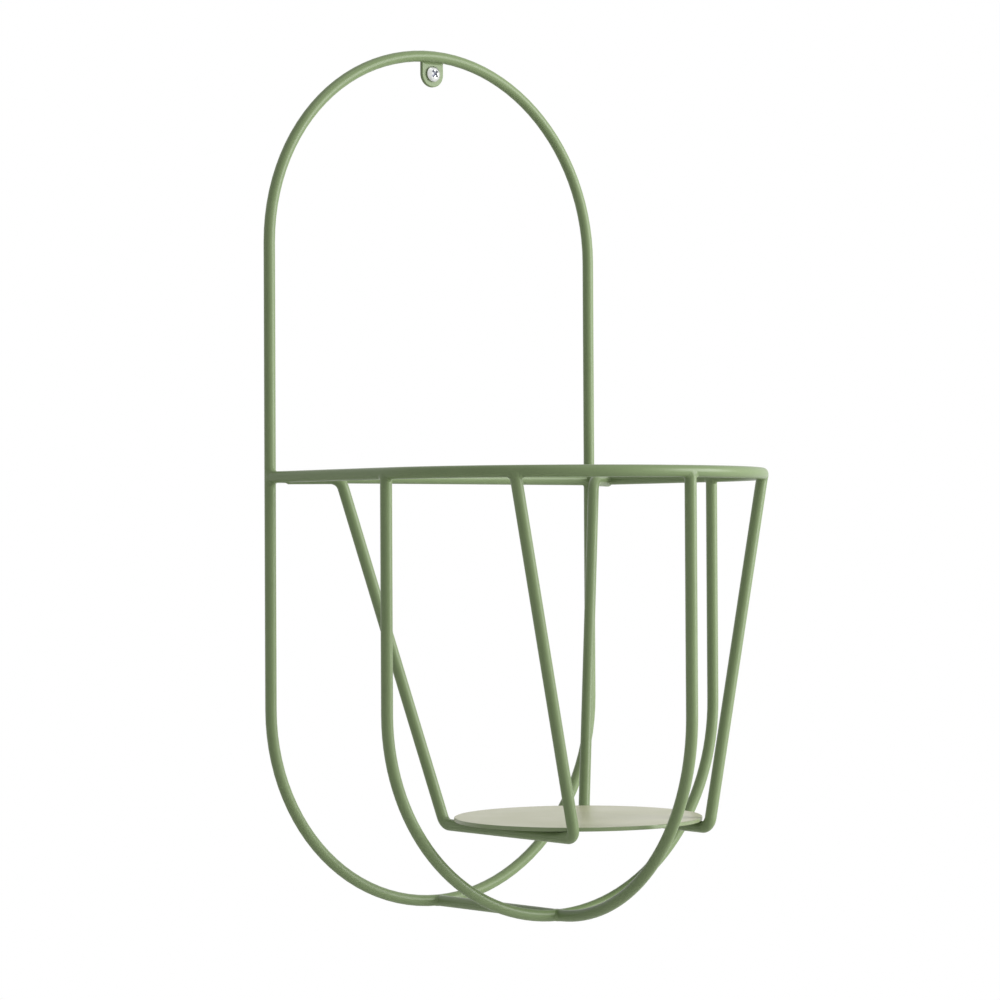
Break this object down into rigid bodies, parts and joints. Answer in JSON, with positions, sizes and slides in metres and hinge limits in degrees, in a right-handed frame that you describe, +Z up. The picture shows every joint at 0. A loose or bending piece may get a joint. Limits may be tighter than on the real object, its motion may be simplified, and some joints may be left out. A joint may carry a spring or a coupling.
{
  "type": "wall planter",
  "caption": "Wall-hung flower pot holder of welded round wire: a tall loop on the wall, a D-shaped rim and a basket of bent wires that carries a small round plate.",
  "frame": {"origin": "where the axis of the wall screw enters the wall, in the wall plane", "axes": "+Z up along the back loop, +Y into the wall along the screw, +X to the right as seen from the room"},
  "size_m": [0.2218, 0.2519, 0.4654],
  "materials": {
    "green_paint": "sage green powder coat, fine satin texture",
    "zinc_screw": "bright zinc plate"
  },
  "bodies": {
    "root": {"back_loop": "green_paint", "rim": "green_paint", "back_bar": "green_paint", "cradle_loop": "green_paint", "front_wire": "green_paint", "bottom_bar": "green_paint", "strut_left": "green_paint", "strut_right": "green_paint", "plate": "green_paint", "hanging_tab": "green_paint", "wall_screw": "zinc_screw", "bead_rim_left": "green_paint", "bead_rim_right": "green_paint", "bead_stub_left": "green_paint", "bead_stub_right": "green_paint", "bead_strut_front_left": "green_paint", "bead_strut_front_right": "green_paint", "bead_cradle_left": "green_paint", "bead_cradle_right": "green_paint", "bead_front_top": "green_paint", "bead_front_foot": "green_paint", "bead_bottom_bar_front": "green_paint", "bead_bottom_bar_rear": "green_paint", "bead_tab": "green_paint", "bead_plate_rear_left": "green_paint", "bead_plate_rear_right": "green_paint", "bead_plate_front_left": "green_paint", "bead_plate_front_right": "green_paint"}
  },
  "joints": []
}
